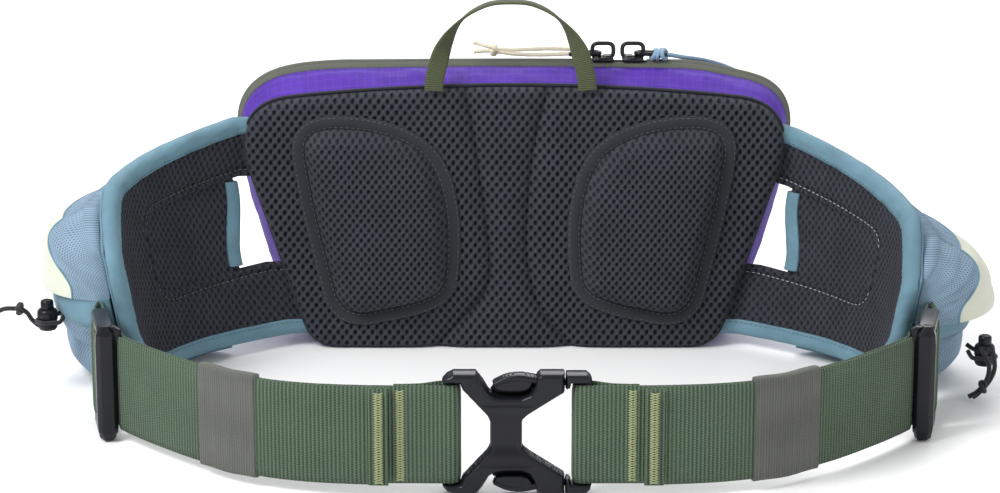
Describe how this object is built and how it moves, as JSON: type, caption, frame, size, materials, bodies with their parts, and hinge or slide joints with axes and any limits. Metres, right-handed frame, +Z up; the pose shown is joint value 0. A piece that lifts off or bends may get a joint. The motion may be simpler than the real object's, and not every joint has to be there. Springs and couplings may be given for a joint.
{
  "type": "waist pack",
  "caption": "Lumbar waist pack with padded mesh back panel, haul handle, zipped compartments, hip wings with stretch pockets, and a buckled webbing belt.",
  "frame": {"origin": "centre of the flat underside of the bag, on the ground plane, below the middle of the back panel", "axes": "+X to the viewer's right when looking at the back panel, +Y away from the wearer (bag depth), +Z up"},
  "size_m": [0.5418, 0.3614, 0.1998],
  "materials": {
    "spacer_mesh": "matt dark 3-D spacer mesh",
    "border_tape": "flat dark binding tape",
    "frame_plastic": "stiff plastic sheet, hidden",
    "ripstop": "purple coated ripstop nylon",
    "zip_tape": "grey-green herringbone zip tape with nylon coil",
    "pull_metal": "black painted die-cast",
    "plastic": "black moulded acetal, satin",
    "handle_webbing": "olive ribbed webbing",
    "belt_webbing": "green cross-ribbed webbing",
    "keeper_elastic": "grey ribbed elastic",
    "wing_mesh": "dark open mesh",
    "wing_fabric": "light blue coated nylon",
    "pocket_mesh": "light blue stretch mesh",
    "cream_fabric": "cream coated nylon",
    "cream_cord": "cream braided cord",
    "blue_cord": "light blue braided cord",
    "black_cord": "black elastic cord"
  },
  "bodies": {
    "bag": {"back_panel": "spacer_mesh", "frame_sheet": "frame_plastic", "left_back_pad": "spacer_mesh", "right_back_pad": "spacer_mesh", "left_pad_border": "border_tape", "right_pad_border": "border_tape", "rear_top_band": "ripstop", "front_top_band": "ripstop", "left_side_panel": "ripstop", "right_side_panel": "ripstop", "bottom_panel": "ripstop", "front_panel": "ripstop", "front_pocket": "wing_fabric", "front_flap": "ripstop", "front_zipper": "zip_tape", "zipper_tape_rear": "zip_tape", "zipper_tape_front": "zip_tape", "zipper_coil_right": "zip_tape", "zipper_coil_left": "zip_tape"},
    "wing_left": {"left_wing_pad": "wing_mesh", "left_wing_flap": "wing_fabric", "left_wing_shell": "wing_fabric", "left_pocket_lower": "pocket_mesh", "left_pocket_hem": "wing_fabric", "left_pocket_upper": "cream_fabric", "left_anchor_webbing": "belt_webbing", "left_cord_lock_barrel": "plastic", "left_shock_cord": "black_cord"},
    "plunger_left": {"left_cord_lock_plunger": "plastic"},
    "strap_left": {"left_ladder_lock": "plastic", "left_strap": "belt_webbing", "left_strap_tail": "belt_webbing"},
    "keeper_left": {"left_keeper": "keeper_elastic"},
    "wing_right": {"right_wing_pad": "wing_mesh", "right_wing_flap": "wing_fabric", "right_wing_shell": "wing_fabric", "right_pocket_lower": "pocket_mesh", "right_pocket_hem": "wing_fabric", "right_pocket_upper": "cream_fabric", "right_anchor_webbing": "belt_webbing", "right_cord_lock_barrel": "plastic", "right_shock_cord": "black_cord"},
    "plunger_right": {"right_cord_lock_plunger": "plastic"},
    "strap_right": {"right_ladder_lock": "plastic", "right_strap": "belt_webbing", "right_strap_tail": "belt_webbing"},
    "keeper_right": {"right_keeper": "keeper_elastic"},
    "socket": {"buckle_socket": "plastic"},
    "plug": {"buckle_plug": "plastic"},
    "prong_upper": {"buckle_prong_upper": "plastic"},
    "prong_lower": {"buckle_prong_lower": "plastic"},
    "slider_left": {"slider_left": "pull_metal"},
    "slider_right": {"slider_right": "pull_metal"},
    "pull_left": {"pull_left": "plastic", "cream_pull_cord": "cream_cord"},
    "pull_right": {"pull_right": "plastic", "blue_pull_cord": "blue_cord"},
    "handle": {"haul_handle": "handle_webbing"},
    "front_slider": {"front_slider": "pull_metal"},
    "front_pull": {"front_pull_tab": "wing_fabric"}
  },
  "joints": [
    {"name": "wing_left_swing", "type": "hinge", "parent": "bag", "child": "wing_left", "pos_m": [-0.152, -0.046, 0.07], "axis": [0, 0, -1], "range_deg": [0, 42]},
    {"name": "strap_left_turn", "type": "hinge", "parent": "wing_left", "child": "strap_left", "pos_m": [-0.2173, -0.1886, 0.031], "axis": [0, 0, -1], "range_deg": [-24.8, 0]},
    {"name": "socket_turn", "type": "hinge", "parent": "strap_left", "child": "socket", "pos_m": [-0.0323, -0.301, 0.0312], "axis": [0, 0, -1], "range_deg": [-18, 0]},
    {"name": "keeper_left_travel", "type": "hinge", "parent": "strap_left", "child": "keeper_left", "pos_m": [-0.0476, -0.1509, 0.031], "axis": [0, 0, 1], "range_deg": [-3, 3]},
    {"name": "plunger_left_press", "type": "slide", "parent": "wing_left", "child": "plunger_left", "axis": [0, 0, 1], "range_m": [-0.0042, 0], "stiffness_N_per_m": 200},
    {"name": "wing_right_swing", "type": "hinge", "parent": "bag", "child": "wing_right", "pos_m": [0.152, -0.046, 0.07], "axis": [0, 0, 1], "range_deg": [0, 42]},
    {"name": "strap_right_turn", "type": "hinge", "parent": "wing_right", "child": "strap_right", "pos_m": [0.2173, -0.1886, 0.031], "axis": [0, 0, 1], "range_deg": [-24.8, 0]},
    {"name": "plug_turn", "type": "hinge", "parent": "strap_right", "child": "plug", "pos_m": [0.0323, -0.301, 0.0312], "axis": [0, 0, 1], "range_deg": [-18, 0]},
    {"name": "keeper_right_travel", "type": "hinge", "parent": "strap_right", "child": "keeper_right", "pos_m": [0.0684, -0.1819, 0.031], "axis": [0, 0, 1], "range_deg": [-4, 4]},
    {"name": "plunger_right_press", "type": "slide", "parent": "wing_right", "child": "plunger_right", "axis": [0, 0, 1], "range_m": [-0.0042, 0], "stiffness_N_per_m": 200},
    {"name": "prong_upper_press", "type": "hinge", "parent": "plug", "child": "prong_upper", "pos_m": [0.0244, -0.301, 0.0568], "axis": [0, 1, 0], "range_deg": [0, 4], "stiffness_Nm_per_rad": 2},
    {"name": "prong_lower_press", "type": "hinge", "parent": "plug", "child": "prong_lower", "pos_m": [0.0244, -0.301, 0.0056], "axis": [0, 1, 0], "range_deg": [-4, 0], "stiffness_Nm_per_rad": 2},
    {"name": "slider_left_travel", "type": "slide", "parent": "bag", "child": "slider_left", "axis": [1, 0, 0], "range_m": [-0.14, 0]},
    {"name": "slider_right_travel", "type": "slide", "parent": "bag", "child": "slider_right", "axis": [1, 0, 0], "range_m": [0, 0.03]},
    {"name": "pull_left_swing", "type": "hinge", "parent": "slider_left", "child": "pull_left", "pos_m": [0.0505, -0.02, 0.1656], "axis": [0, 1, 0], "range_deg": [0, 90]},
    {"name": "pull_right_swing", "type": "hinge", "parent": "slider_right", "child": "pull_right", "pos_m": [0.0675, -0.02, 0.1656], "axis": [0, 1, 0], "range_deg": [-90, 0]},
    {"name": "handle_fold", "type": "hinge", "parent": "bag", "child": "handle", "pos_m": [0, -0.0512, 0.1522], "axis": [1, 0, 0], "range_deg": [0, 80]},
    {"name": "front_slider_travel", "type": "slide", "parent": "bag", "child": "front_slider", "axis": [1, 0, 0], "range_m": [0, 0.17]},
    {"name": "front_pull_swing", "type": "hinge", "parent": "front_slider", "child": "front_pull", "pos_m": [-0.0875, 0.0528, 0.0609], "axis": [1, 0, 0], "range_deg": [0, 90]}
  ],
  "couplings": [
    {"joint": "strap_left_turn", "follows": "wing_left_swing", "ratio": -0.5812},
    {"joint": "socket_turn", "follows": "wing_left_swing", "ratio": -0.4188},
    {"joint": "strap_right_turn", "follows": "wing_right_swing", "ratio": -0.5812},
    {"joint": "plug_turn", "follows": "wing_right_swing", "ratio": -0.4188}
  ]
}
